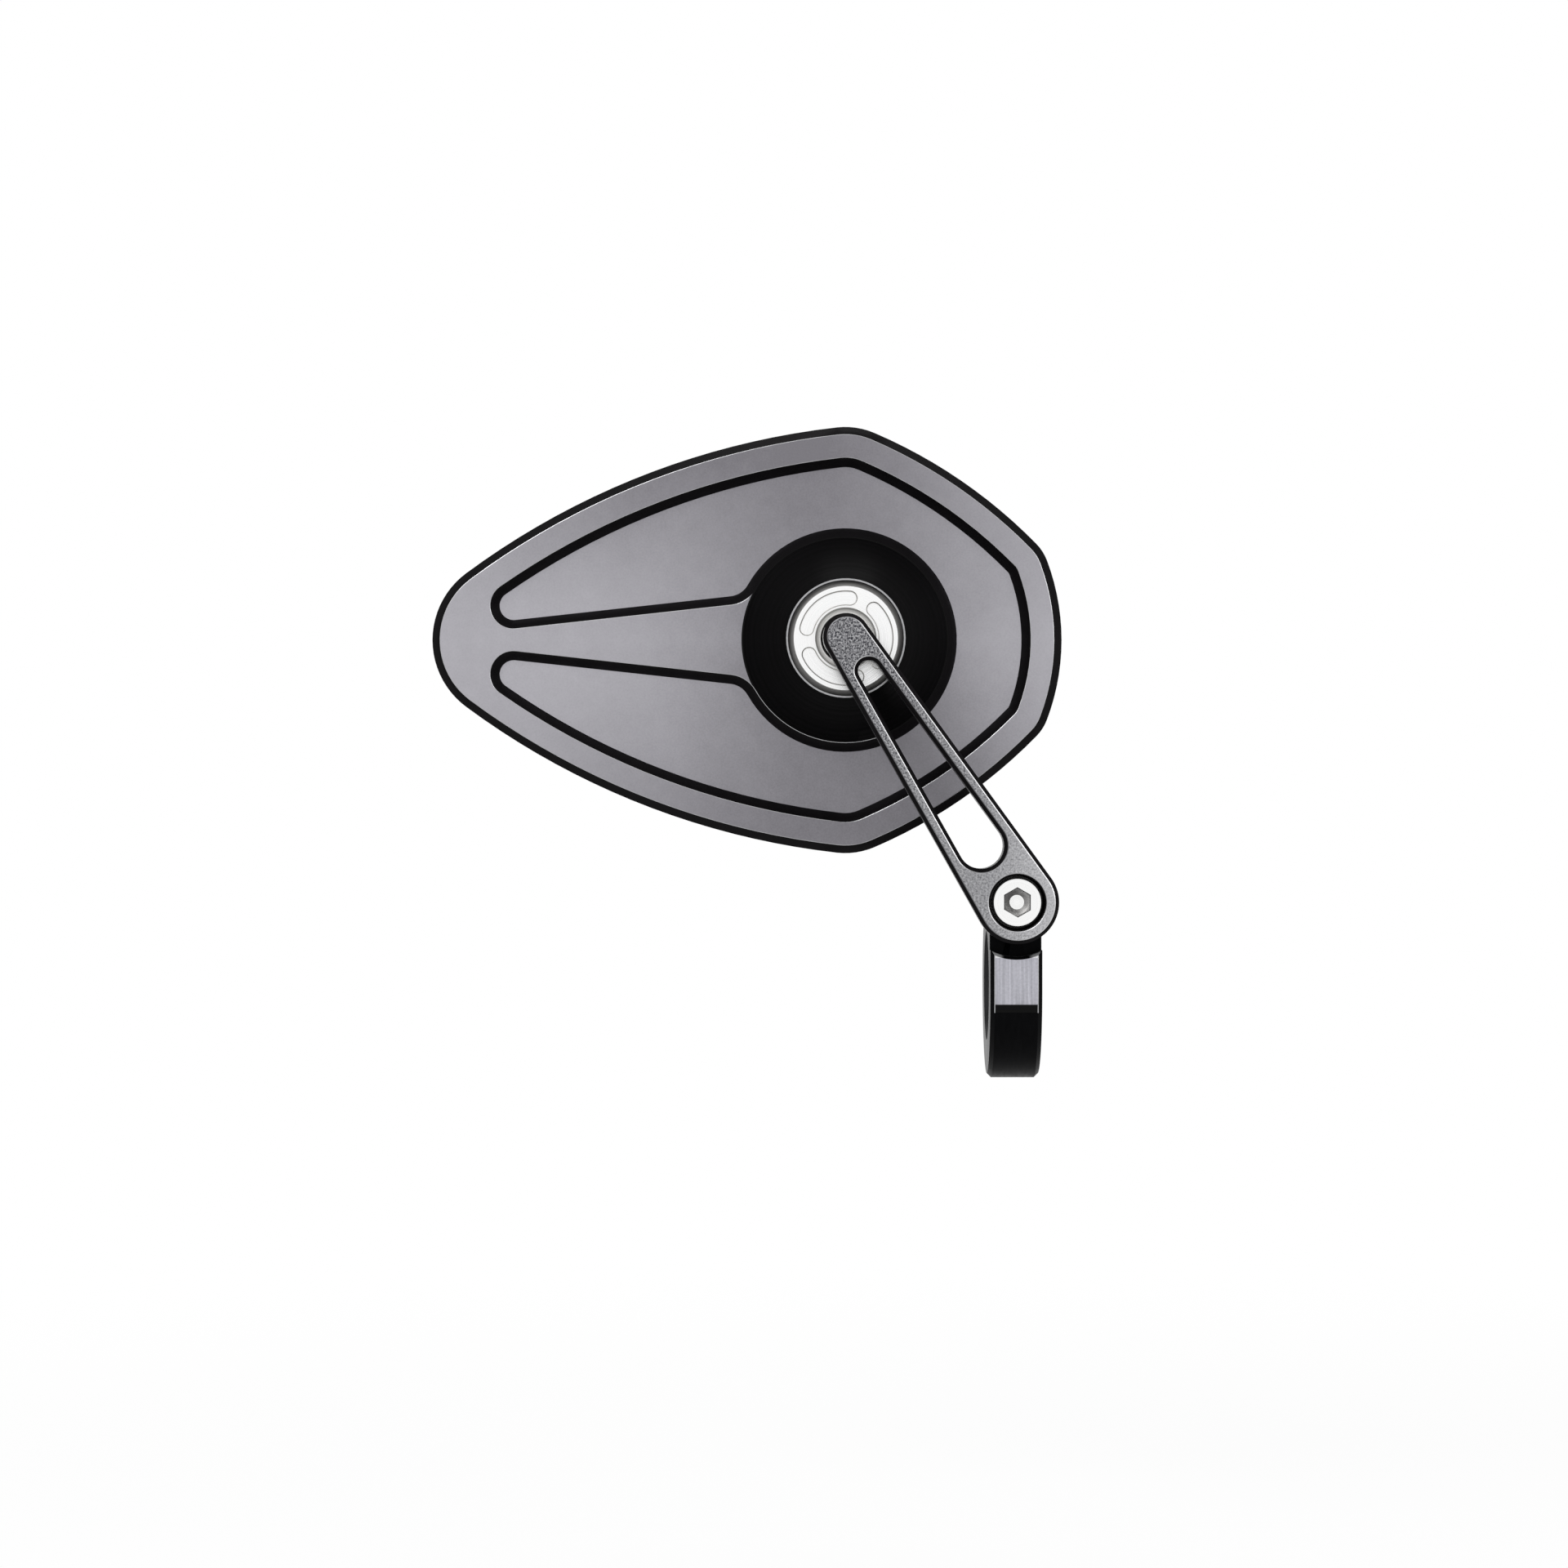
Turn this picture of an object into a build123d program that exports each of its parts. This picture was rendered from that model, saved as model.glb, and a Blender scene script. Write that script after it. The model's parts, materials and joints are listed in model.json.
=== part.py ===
from build123d import *
import os
from math import cos, radians, sin, sqrt

# Bar end mirror: a clamp on the bar, a slotted arm, a ball joint and a milled head.
# Millimetres and degrees. X runs along the bar, Z is up, the glass faces +Y.
# The origin is the middle of the clamp's bore.

# Clamp on the bar
bar_d = 22.2
clamp_wall = 7.6
clamp_width = 10.4
clamp_edge = 0.85
slit = 2.0
screw_rise = 17.5
seat_front = 14.5
recess_r = 11.0
recess_edge = 0.55
ear_r = 7.6
rear_ear = 9.0
ear_root_r = 2.0

# Clamp screw, its washers and its thread
screw_d = 6.0
screw_play = 0.1
screw_head_d = 10.0
screw_head_h = 4.0
screw_head_edge = 0.3
hex_sides = 6
hex_turn_angle = 30.0
hex_flats = 5.0
hex_depth = 2.0
hex_floor_d = 2.9
hex_floor_depth = 0.7
screw_end_edge = 0.6
washer_d = 10.5
washer_t = 0.6
friction_d = 13.0
friction_t = 0.5
insert_wall = 0.6

# Arm
arm_length = 63.0
arm_angle = 32.7
arm_t = 8.0
arm_ball_r = 4.65
arm_screw_r = 8.3
arm_edge = 0.8
leg_width = 2.95
slot_to_ball = 8.2
slot_to_screw = 13.4
counterbore_play = 0.3
counterbore_depth = 5.5
counterbore_edge = 0.3

# Ball stud
ball_d = 11.0
neck_d = 5.4
collar_d = 9.4
collar_t = 1.2
stud_reach = 10.35
shank_d = 6.0
shank_length = 5.0

# Ball joint inside the boss
seat_play = 0.08
outer_seat_wall = 1.4
outer_seat_top_angle = 58.0
outer_seat_foot_angle = 80.0
inner_seat_floor = 0.9
inner_seat_d = 20.9
inner_seat_drop = 1.0
thrust_t = 0.3
spring_t = 0.3
spring_cone = 0.25
spring_play = 0.3
spring_bore_d = 11.0

# Retaining ring
ring_d = 23.3
thread_play = 0.05
ring_drop = 0.3
ring_bevel = 1.15
throat_d = 10.2
throat_edge = 1.1
throat_land = 0.4
cavity_foot_angle = 75.0
kidney_r = 8.1
kidney_width = 2.65
kidney_sweep_angle = 82.0
kidney_depth = 0.6
kidney_edge = 0.2
kidney_turn_angle = 125.0
kidney_count = 3

# Boss
boss_height = 11.0
boss_lip = 0.34
boss_foot_r = 20.8
boss_land = 0.2
thread_relief = 0.8

# Head outline: five arcs' corners, seen from behind and measured from the ball's axis
tip_x = -93.5
crown_x = 2.26
crown_y = 43.86
corner_x = 40.5
corner_y = 18.22
long_r = 156.9
slant_r = 103.0
right_r = 46.0
tip_round = 17.0
crown_round = 15.2
corner_round = 9.9
least_round = 0.5

# Head section
rim_edge = 1.65
rim_width = 4.7
pocket_wall = 1.85
pocket_foot = 0.05
rib_half = 9.66
rib_meet_to_tip = 5.6
finger_round = 2.9
rib_root_round = 4.6
web_t = 1.2
lip_width = 1.5
lip_edge = 0.4
glass_play = 0.1
glass_t = 2.0
glass_radius = 1400.0
glass_proud = 0.5
glass_edge = 0.3
pad_inset = 1.5
pad_t = 0.5

# Places along the screw, counted from the bar's axis towards the back of the mirror
clamp_r = bar_d / 2 + clamp_wall
arm_back = seat_front + friction_t
arm_face = arm_back + arm_t
counterbore_floor = arm_face - counterbore_depth
screw_under_head = counterbore_floor + washer_t
screw_top = screw_under_head + screw_head_h
counterbore_r = washer_d / 2 + counterbore_play
insert_r = screw_d / 2 + insert_wall

# Ball joint stack, counted from the rim of the head towards the arm
ball_r = ball_d / 2
seat_bore_r = ball_r + seat_play
outer_seat_r = seat_bore_r + outer_seat_wall
cavity_r = outer_seat_r + seat_play
throat_r = throat_d / 2
ring_top = boss_height - ring_drop
throat_foot = ring_top - throat_edge - throat_land
ball_height = throat_foot - sqrt(cavity_r**2 - throat_r**2)
ring_foot = ball_height + cavity_r * cos(radians(cavity_foot_angle))
seat_foot = ball_height - seat_bore_r - inner_seat_floor
spring_h = spring_t + spring_cone
spring_top = seat_foot - thrust_t
spring_meet = spring_top - spring_h
bore_floor = spring_meet - spring_h
inner_seat_r = inner_seat_d / 2
bore_r = inner_seat_r + seat_play
spring_r = bore_r - spring_play
thread_r = ring_d / 2 + thread_play
boss_top_r = thread_r + boss_lip

# Front of the head: glass, pad and recess share one centre
pad_radius = glass_radius - glass_t
recess_radius = pad_radius - pad_t
recess_apex = bore_floor - web_t
head_front = recess_apex - pad_t - glass_t + glass_proud
glass_centre = recess_apex - pad_t - glass_t + glass_radius
glass_mid_x = (tip_x + tip_round / 2 + corner_x) / 2

# Frames of the head and the arm
ball_x = -arm_length * sin(radians(arm_angle))
ball_z = screw_rise + arm_length * cos(radians(arm_angle))
ball_front = arm_back - stud_reach
head_back = ball_front - ball_height
head_origin = (ball_x, -head_back, ball_z)
head_plane = Plane(origin=head_origin, x_dir=(1, 0, 0), z_dir=(0, -1, 0))
turn_plane = Plane(origin=head_origin, x_dir=(1, 0, 0), z_dir=(0, 0, -1))
ball_axis = Axis(head_origin, (0, -1, 0))
dome_origin = (ball_x + glass_mid_x, -head_back, ball_z)
dome_plane = Plane(origin=dome_origin, x_dir=(1, 0, 0), z_dir=(0, 0, -1))
dome_axis = Axis(dome_origin, (0, -1, 0))
arm_dir = (-sin(radians(arm_angle)), 0, cos(radians(arm_angle)))
arm_plane = Plane(origin=(0, -arm_back, screw_rise), x_dir=arm_dir, z_dir=(0, -1, 0))
screw_plane = Plane(origin=(0, 0, screw_rise), x_dir=(1, 0, 0), z_dir=(0, -1, 0))
screw_turn_plane = Plane(origin=(0, 0, screw_rise), x_dir=(1, 0, 0), z_dir=(0, 0, -1))
screw_axis = Axis((0, 0, screw_rise), (0, -1, 0))

os.makedirs("parts", exist_ok=True)


def on_ball(radius, angle):
    # Point of a turned profile on a sphere round the ball's centre, angle from the arm's side
    return (radius * sin(radians(angle)), ball_height + radius * cos(radians(angle)))


def head_outline(inset, round_tip):
    # Shield outline of the head, moved inwards by inset, with its tip rounded or left sharp
    tip, crown, corner = (tip_x, 0), (crown_x, crown_y), (corner_x, corner_y)
    with BuildSketch() as outline:
        with BuildLine():
            RadiusArc(tip, crown, long_r)
            RadiusArc(crown, corner, slant_r)
            RadiusArc(corner, (corner_x, -corner_y), right_r)
            RadiusArc((corner_x, -corner_y), (crown_x, -crown_y), slant_r)
            RadiusArc((crown_x, -crown_y), tip, long_r)
        make_face()
        if inset:
            offset(amount=-inset)
        fillet(outline.vertices().sort_by(Axis.X)[-2:], max(corner_round - inset, least_round))
        fillet(outline.vertices().sort_by(Axis.Y)[0], max(crown_round - inset, least_round))
        fillet(outline.vertices().sort_by(Axis.Y)[-1], max(crown_round - inset, least_round))
        if round_tip:
            fillet(outline.vertices().sort_by(Axis.X)[0], max(tip_round - inset, least_round))
    return outline.sketch


def domed_slab(inset, front_radius, back_radius):
    # Slab between two spheres round the glass centre, cut to the head's outline
    reach = corner_x - tip_x
    with BuildPart() as slab:
        with BuildSketch(dome_plane):
            with BuildLine():
                front_end = (reach, glass_centre - sqrt(front_radius**2 - reach**2))
                back_end = (reach, glass_centre - sqrt(back_radius**2 - reach**2))
                RadiusArc((0, glass_centre - front_radius), front_end, -front_radius)
                Line(front_end, back_end)
                RadiusArc((0, glass_centre - back_radius), back_end, -back_radius)
                Line((0, glass_centre - back_radius), (0, glass_centre - front_radius))
            make_face()
        revolve(axis=dome_axis)
        with BuildSketch(head_plane):
            add(head_outline(inset, True))
        extrude(amount=2 * head_front, mode=Mode.INTERSECT)
    return slab.part


# Split clamp: round below, flat in front, with an ear each side of the slit
with BuildPart() as clamp_ring:
    ear_top = screw_rise + ear_r
    with BuildSketch(Plane.YZ):
        Circle(clamp_r)
        with BuildLine():
            Polyline((-clamp_r, 0), (-clamp_r, ear_top), (rear_ear, ear_top), (rear_ear, 0), close=True)
        make_face()
    extrude(amount=clamp_width / 2, both=True)
    ear_edges = clamp_ring.edges().filter_by(Axis.X).filter_by_position(Axis.Y, 0, clamp_r - ear_root_r)
    fillet(ear_edges.sort_by(Axis.Z)[0], ear_root_r)
    sides = clamp_ring.faces().filter_by(Axis.X)
    chamfer(sides.edges(), clamp_edge)
    with BuildSketch(screw_plane):
        Circle(ear_r)
        with Locations((0, -ear_top / 2 - clamp_r)):
            Rectangle(2 * clamp_width, ear_top + 2 * clamp_r)
    extrude(amount=2 * clamp_r, both=True, mode=Mode.INTERSECT)
    with BuildSketch(Plane.YZ):
        Circle(bar_d / 2)
    extrude(amount=clamp_width, both=True, mode=Mode.SUBTRACT)
    with BuildSketch(screw_plane.offset(seat_front)):
        Circle(recess_r)
    extrude(amount=clamp_r, mode=Mode.SUBTRACT)
    front_wall = clamp_ring.faces().filter_by(Axis.Y).sort_by(Axis.Y)[0]
    chamfer(front_wall.edges().sort_by(Axis.Z)[-1], recess_edge)
    with Locations((0, 0, ear_top / 2)):
        Box(2 * clamp_width, slit, ear_top, mode=Mode.SUBTRACT)
    with BuildSketch(screw_plane):
        Circle(screw_d / 2 + screw_play)
    extrude(amount=seat_front, mode=Mode.SUBTRACT)
    with BuildSketch(screw_plane):
        Circle(insert_r)
    extrude(amount=-clamp_r, mode=Mode.SUBTRACT)
clamp_ring.part.label = "clamp_ring"
export_step(clamp_ring.part, "parts/clamp_ring.step")

# Steel thread in the rear ear
with BuildPart() as thread_insert:
    with BuildSketch(screw_plane.offset(-slit / 2)):
        Circle(insert_r)
        Circle(screw_d / 2, mode=Mode.SUBTRACT)
    extrude(amount=slit / 2 - rear_ear)
thread_insert.part.label = "thread_insert"
export_step(thread_insert.part, "parts/thread_insert.step")

# Plain washer that the arm turns on
with BuildPart() as friction_washer:
    with BuildSketch(screw_plane.offset(seat_front)):
        Circle(friction_d / 2)
        Circle(screw_d / 2 + screw_play, mode=Mode.SUBTRACT)
    extrude(amount=friction_t)
friction_washer.part.label = "friction_washer"
export_step(friction_washer.part, "parts/friction_washer.step")

# Washer under the screw head, at the bottom of the counterbore
with BuildPart() as screw_washer:
    with BuildSketch(screw_plane.offset(counterbore_floor)):
        Circle(washer_d / 2)
        Circle(screw_d / 2 + screw_play, mode=Mode.SUBTRACT)
    extrude(amount=washer_t)
screw_washer.part.label = "screw_washer"
export_step(screw_washer.part, "parts/screw_washer.step")

# Low socket head screw, with a hexagon that runs out in a cone
with BuildPart() as clamp_screw:
    with BuildSketch(screw_turn_plane):
        with BuildLine():
            Polyline(
                (0, -rear_ear),
                (screw_d / 2 - screw_end_edge, -rear_ear),
                (screw_d / 2, -rear_ear + screw_end_edge),
                (screw_d / 2, screw_under_head),
                (screw_head_d / 2, screw_under_head),
                (screw_head_d / 2, screw_top - screw_head_edge),
                (screw_head_d / 2 - screw_head_edge, screw_top),
                (0, screw_top),
                close=True,
            )
        make_face()
    revolve(axis=screw_axis)
    with BuildSketch(screw_plane.offset(screw_top)):
        RegularPolygon(hex_flats / 2, hex_sides, major_radius=False, rotation=hex_turn_angle)
    extrude(amount=-hex_depth, mode=Mode.SUBTRACT)
    with BuildSketch(screw_turn_plane):
        with BuildLine():
            Polyline(
                (0, screw_top - hex_depth - hex_floor_depth),
                (hex_floor_d / 2, screw_top - hex_depth - hex_floor_depth),
                (hex_flats / 2, screw_top - hex_depth),
                (0, screw_top - hex_depth),
                close=True,
            )
        make_face()
    revolve(axis=screw_axis, mode=Mode.SUBTRACT)
clamp_screw.part.label = "clamp_screw"
export_step(clamp_screw.part, "parts/clamp_screw.step")

# Tapered arm: two legs of even width between the screw end and the ball end
with BuildPart() as arm:
    arm_spread = (arm_screw_r - arm_ball_r) / arm_length
    with BuildSketch(arm_plane):
        Circle(arm_screw_r)
        with Locations((arm_length, 0)):
            Circle(arm_ball_r)
        make_hull()
    extrude(amount=arm_t)
    with BuildSketch(arm_plane):
        with Locations((arm_length - slot_to_ball, 0)):
            Circle(arm_ball_r + arm_spread * slot_to_ball - leg_width)
        with Locations((slot_to_screw, 0)):
            Circle(arm_screw_r - arm_spread * slot_to_screw - leg_width)
        make_hull()
    extrude(amount=arm_t, mode=Mode.SUBTRACT)
    chamfer(arm.faces().filter_by(Axis.Y).edges(), arm_edge)
    with BuildSketch(arm_plane):
        Circle(screw_d / 2 + screw_play)
    extrude(amount=arm_t, mode=Mode.SUBTRACT)
    with BuildSketch(screw_plane.offset(counterbore_floor)):
        Circle(counterbore_r)
    extrude(amount=counterbore_depth, mode=Mode.SUBTRACT)
    face_edges = arm.faces().sort_by(Axis.Y)[0].edges()
    chamfer(face_edges.filter_by(lambda edge: edge.is_closed), counterbore_edge)
    with BuildSketch(arm_plane):
        with Locations((arm_length, 0)):
            Circle(shank_d / 2 + thread_play)
    extrude(amount=shank_length, mode=Mode.SUBTRACT)
arm.part.label = "arm"
export_step(arm.part, "parts/arm.step")

# Ball stud: ball, neck, collar against the arm and a shank in the arm
with BuildPart() as ball_stud:
    collar_foot = ball_height + stud_reach - collar_t
    neck_height = sqrt(ball_r**2 - (neck_d / 2) ** 2)
    with BuildSketch(turn_plane):
        with BuildLine():
            neck_foot = (neck_d / 2, ball_height + neck_height)
            ThreePointArc((0, ball_height - ball_r), (ball_r, ball_height), neck_foot)
            Polyline(
                neck_foot,
                (neck_d / 2, collar_foot),
                (collar_d / 2, collar_foot),
                (collar_d / 2, collar_foot + collar_t),
                (shank_d / 2, collar_foot + collar_t),
                (shank_d / 2, collar_foot + collar_t + shank_length),
                (0, collar_foot + collar_t + shank_length),
                (0, ball_height - ball_r),
            )
        make_face()
    revolve(axis=ball_axis)
ball_stud.part.label = "ball_stud"
export_step(ball_stud.part, "parts/ball_stud.step")

# Outer seat: a ring of a hollow sphere between the ball and the retaining ring
with BuildPart() as outer_seat:
    seat_middle = (outer_seat_top_angle + outer_seat_foot_angle) / 2
    with BuildSketch(turn_plane):
        with BuildLine():
            ThreePointArc(
                on_ball(seat_bore_r, outer_seat_top_angle),
                on_ball(seat_bore_r, seat_middle),
                on_ball(seat_bore_r, outer_seat_foot_angle),
            )
            Line(on_ball(seat_bore_r, outer_seat_foot_angle), on_ball(outer_seat_r, outer_seat_foot_angle))
            ThreePointArc(
                on_ball(outer_seat_r, outer_seat_foot_angle),
                on_ball(outer_seat_r, seat_middle),
                on_ball(outer_seat_r, outer_seat_top_angle),
            )
            Line(on_ball(outer_seat_r, outer_seat_top_angle), on_ball(seat_bore_r, outer_seat_top_angle))
        make_face()
    revolve(axis=ball_axis)
outer_seat.part.label = "outer_seat"
export_step(outer_seat.part, "parts/outer_seat.step")

# Inner seat: a cup under the ball that turns in the housing's bore
with BuildPart() as inner_seat:
    cup_top = ball_height - inner_seat_drop
    cup_mouth_r = sqrt(seat_bore_r**2 - inner_seat_drop**2)
    with BuildSketch(turn_plane):
        with BuildLine():
            RadiusArc((0, ball_height - seat_bore_r), (cup_mouth_r, cup_top), -seat_bore_r)
            Polyline(
                (cup_mouth_r, cup_top),
                (inner_seat_r, cup_top),
                (inner_seat_r, seat_foot),
                (0, seat_foot),
                (0, ball_height - seat_bore_r),
            )
        make_face()
    revolve(axis=ball_axis)
inner_seat.part.label = "inner_seat"
export_step(inner_seat.part, "parts/inner_seat.step")

# Thrust washer between the cup and the springs
with BuildPart() as thrust_washer:
    with BuildSketch(head_plane.offset(spring_top)):
        Circle(spring_r)
        Circle(spring_bore_d / 2, mode=Mode.SUBTRACT)
    extrude(amount=thrust_t)
thrust_washer.part.label = "thrust_washer"
export_step(thrust_washer.part, "parts/thrust_washer.step")

# Two disc springs, back to back: their inner rims meet
with BuildPart() as disc_spring_lower:
    with BuildSketch(turn_plane):
        with BuildLine():
            Polyline(
                (spring_r, bore_floor),
                (spring_r, bore_floor + spring_t),
                (spring_bore_d / 2, spring_meet),
                (spring_bore_d / 2, spring_meet - spring_t),
                close=True,
            )
        make_face()
    revolve(axis=ball_axis)
disc_spring_lower.part.label = "disc_spring_lower"
export_step(disc_spring_lower.part, "parts/disc_spring_lower.step")

with BuildPart() as disc_spring_upper:
    add(disc_spring_lower.part)
    mirror(about=head_plane.offset(spring_meet), mode=Mode.REPLACE)
disc_spring_upper.part.label = "disc_spring_upper"
export_step(disc_spring_upper.part, "parts/disc_spring_upper.step")

# Middle line of one kidney recess
with BuildLine() as kidney_line:
    CenterArc((0, 0), kidney_r, -kidney_sweep_angle / 2, kidney_sweep_angle)

# Retaining ring: threaded outside, a round throat, and kidney recesses for a pin wrench
with BuildPart() as retaining_ring:
    with BuildSketch(turn_plane):
        with BuildLine():
            cavity_end = on_ball(cavity_r, cavity_foot_angle)
            RadiusArc((throat_r, throat_foot), cavity_end, cavity_r)
            Polyline(
                cavity_end,
                (ring_d / 2, ring_foot),
                (ring_d / 2, ring_top - ring_bevel),
                (ring_d / 2 - ring_bevel, ring_top),
                (throat_r + throat_edge, ring_top),
                (throat_r, ring_top - throat_edge),
                (throat_r, throat_foot),
            )
        make_face()
    revolve(axis=ball_axis)
    with BuildSketch(head_plane.offset(ring_top)):
        with PolarLocations(0, kidney_count, start_angle=kidney_turn_angle):
            SlotArc(kidney_line.wire(), kidney_width)
    extrude(amount=-kidney_depth, mode=Mode.SUBTRACT)
    ring_face = retaining_ring.faces().filter_by(Axis.Y).sort_by(Axis.Y)[0]
    kidney_rims = ring_face.inner_wires().edges().filter_by(lambda edge: not edge.is_closed)
    chamfer(kidney_rims, kidney_edge)
retaining_ring.part.label = "retaining_ring"
export_step(retaining_ring.part, "parts/retaining_ring.step")

# Housing: bevelled rim, sunk C-shaped pocket round a tapered rib, conical boss, glass recess
with BuildPart() as mirror_housing:
    with BuildSketch(head_plane):
        add(head_outline(0, True))
    extrude(amount=head_front)
    chamfer(mirror_housing.faces().sort_by(Axis.Y)[0].edges(), rim_edge)
    chamfer(mirror_housing.faces().sort_by(Axis.Y)[-1].edges(), lip_edge)
    pocket_r = boss_foot_r + boss_land + pocket_wall
    rib_slope = rib_half / (-tip_x - rib_meet_to_tip)
    rib_foot = rib_half + pocket_wall * sqrt(1 + rib_slope**2)
    rib_end = rib_foot + tip_x * rib_slope
    with BuildSketch(head_plane) as pocket:
        add(head_outline(rim_edge + rim_width + pocket_wall, False))
        Circle(pocket_r, mode=Mode.SUBTRACT)
        with BuildLine():
            Polyline((0, rib_foot), (tip_x, rib_end), (tip_x, -rib_end), (0, -rib_foot), close=True)
        make_face(mode=Mode.SUBTRACT)
        fillet(pocket.vertices().sort_by(Axis.X)[:2], finger_round)
        roots = pocket.vertices().sort_by(lambda corner: corner.center().length)[:2]
        fillet(roots, rib_root_round)
    extrude(amount=-pocket_wall - pocket_foot, mode=Mode.SUBTRACT)
    rim = mirror_housing.faces().filter_by(Axis.Y).sort_by(Axis.Y)[0]
    chamfer(rim.inner_wires().edges(), pocket_wall)
    with BuildSketch(turn_plane):
        with BuildLine():
            Polyline((0, 0), (boss_foot_r, 0), (boss_top_r, boss_height), (0, boss_height), close=True)
        make_face()
    revolve(axis=ball_axis)
    relief_foot = ring_foot - thread_relief
    with BuildSketch(turn_plane):
        with BuildLine():
            Polyline(
                (0, bore_floor),
                (bore_r, bore_floor),
                (bore_r, relief_foot),
                (thread_r, relief_foot),
                (thread_r, boss_height),
                (0, boss_height),
                close=True,
            )
        make_face()
    revolve(axis=ball_axis, mode=Mode.SUBTRACT)
    add(domed_slab(lip_width, glass_radius + 2 * glass_t, recess_radius), mode=Mode.SUBTRACT)
mirror_housing.part.label = "mirror_housing"
export_step(mirror_housing.part, "parts/mirror_housing.step")

# Adhesive pad on the recess floor
with BuildPart() as glass_pad:
    add(domed_slab(lip_width + pad_inset, pad_radius, recess_radius))
glass_pad.part.label = "glass_pad"
export_step(glass_pad.part, "parts/glass_pad.step")

# Convex glass
with BuildPart() as mirror_glass:
    add(domed_slab(lip_width + glass_play, glass_radius, pad_radius))
    chamfer(mirror_glass.faces().sort_by(Axis.Y)[-1].edges(), glass_edge)
mirror_glass.part.label = "mirror_glass"
export_step(mirror_glass.part, "parts/mirror_glass.step")
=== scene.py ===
import json
import math

import bmesh
import bpy
import numpy
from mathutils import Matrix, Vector

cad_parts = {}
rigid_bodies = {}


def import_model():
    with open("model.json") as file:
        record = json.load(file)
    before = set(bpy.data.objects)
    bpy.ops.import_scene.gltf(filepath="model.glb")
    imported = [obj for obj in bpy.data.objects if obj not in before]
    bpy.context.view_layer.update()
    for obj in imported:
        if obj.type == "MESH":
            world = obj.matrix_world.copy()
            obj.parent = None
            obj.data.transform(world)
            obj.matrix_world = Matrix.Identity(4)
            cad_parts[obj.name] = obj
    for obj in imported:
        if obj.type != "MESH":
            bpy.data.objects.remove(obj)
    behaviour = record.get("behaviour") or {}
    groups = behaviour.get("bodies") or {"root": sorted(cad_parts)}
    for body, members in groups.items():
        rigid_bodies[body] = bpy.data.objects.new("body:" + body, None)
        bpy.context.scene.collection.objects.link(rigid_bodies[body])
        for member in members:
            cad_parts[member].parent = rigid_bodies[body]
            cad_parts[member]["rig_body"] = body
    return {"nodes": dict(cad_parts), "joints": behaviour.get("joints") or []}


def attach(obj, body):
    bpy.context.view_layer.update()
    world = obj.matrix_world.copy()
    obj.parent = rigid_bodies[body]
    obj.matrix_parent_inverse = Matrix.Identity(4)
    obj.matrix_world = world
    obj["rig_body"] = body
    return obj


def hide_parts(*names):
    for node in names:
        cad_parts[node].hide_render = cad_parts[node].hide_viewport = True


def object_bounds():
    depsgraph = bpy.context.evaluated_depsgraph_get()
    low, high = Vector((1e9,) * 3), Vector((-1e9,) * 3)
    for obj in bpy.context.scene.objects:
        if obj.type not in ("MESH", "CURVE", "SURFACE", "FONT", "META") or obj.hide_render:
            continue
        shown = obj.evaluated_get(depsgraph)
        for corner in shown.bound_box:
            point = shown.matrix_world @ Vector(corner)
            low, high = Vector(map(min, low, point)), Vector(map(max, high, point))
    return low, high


for leftover in list(bpy.data.objects):
    bpy.data.objects.remove(leftover)
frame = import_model()
cadLow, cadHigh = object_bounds()  # the CAD box, before anything is dressed
cadNodes = frame["nodes"]
jointAt = {row["name"]: Vector(row["pos_m"]) for row in frame["joints"]}
ballCentre = jointAt["head_spin"]
screwCentre = jointAt["arm_swing"]
mm = 0.001
print("frame loaded:", len(cadNodes), "nodes")


# small helpers for shader trees
def startMaterial(name):
    material = bpy.data.materials.new(name)
    material.use_nodes = True
    return material, material.node_tree, material.node_tree.nodes["Principled BSDF"]


def addNode(tree, kind, **settings):
    node = tree.nodes.new(kind)
    for key, value in settings.items():
        setattr(node, key, value)
    return node


def wire(tree, source, target):
    tree.links.new(source, target)


def feed(tree, socket, value):
    if isinstance(value, bpy.types.NodeSocket):
        wire(tree, value, socket)
    else:
        socket.default_value = value


def calc(tree, operation, first, second=0.0, third=0.0, clamp=False):
    node = addNode(tree, "ShaderNodeMath", operation=operation, use_clamp=clamp)
    for socket, value in zip(node.inputs, (first, second, third)):
        feed(tree, socket, value)
    return node.outputs[0]


def remap(tree, value, fromLow, fromHigh, toLow=0.0, toHigh=1.0, smooth=True):
    node = addNode(tree, "ShaderNodeMapRange", interpolation_type="SMOOTHSTEP" if smooth else "LINEAR")
    for socket, number in zip(node.inputs, (value, fromLow, fromHigh, toLow, toHigh)):
        feed(tree, socket, number)
    return node.outputs[0]


def rgba(color):
    return (*color, 1.0)


def blendColors(tree, share, first, second):
    node = addNode(tree, "ShaderNodeMix", data_type="RGBA")
    feed(tree, node.inputs["Factor"], share)
    feed(tree, node.inputs[6], first)
    feed(tree, node.inputs[7], second)
    return node.outputs[2]


def placeCoords(tree, centre=(0, 0, 0), scale=(1, 1, 1)):
    coords = addNode(tree, "ShaderNodeTexCoord")
    shift = addNode(tree, "ShaderNodeVectorMath", operation="SUBTRACT")
    wire(tree, coords.outputs["Object"], shift.inputs[0])
    shift.inputs[1].default_value = centre
    mapping = addNode(tree, "ShaderNodeMapping")
    wire(tree, shift.outputs[0], mapping.inputs["Vector"])
    mapping.inputs["Scale"].default_value = scale
    return mapping.outputs[0]


def splitAxes(tree, coords):
    node = addNode(tree, "ShaderNodeSeparateXYZ")
    wire(tree, coords, node.inputs[0])
    return node.outputs


def lengthOf(tree, coords):
    node = addNode(tree, "ShaderNodeVectorMath", operation="LENGTH")
    wire(tree, coords, node.inputs[0])
    return node.outputs["Value"]


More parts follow.
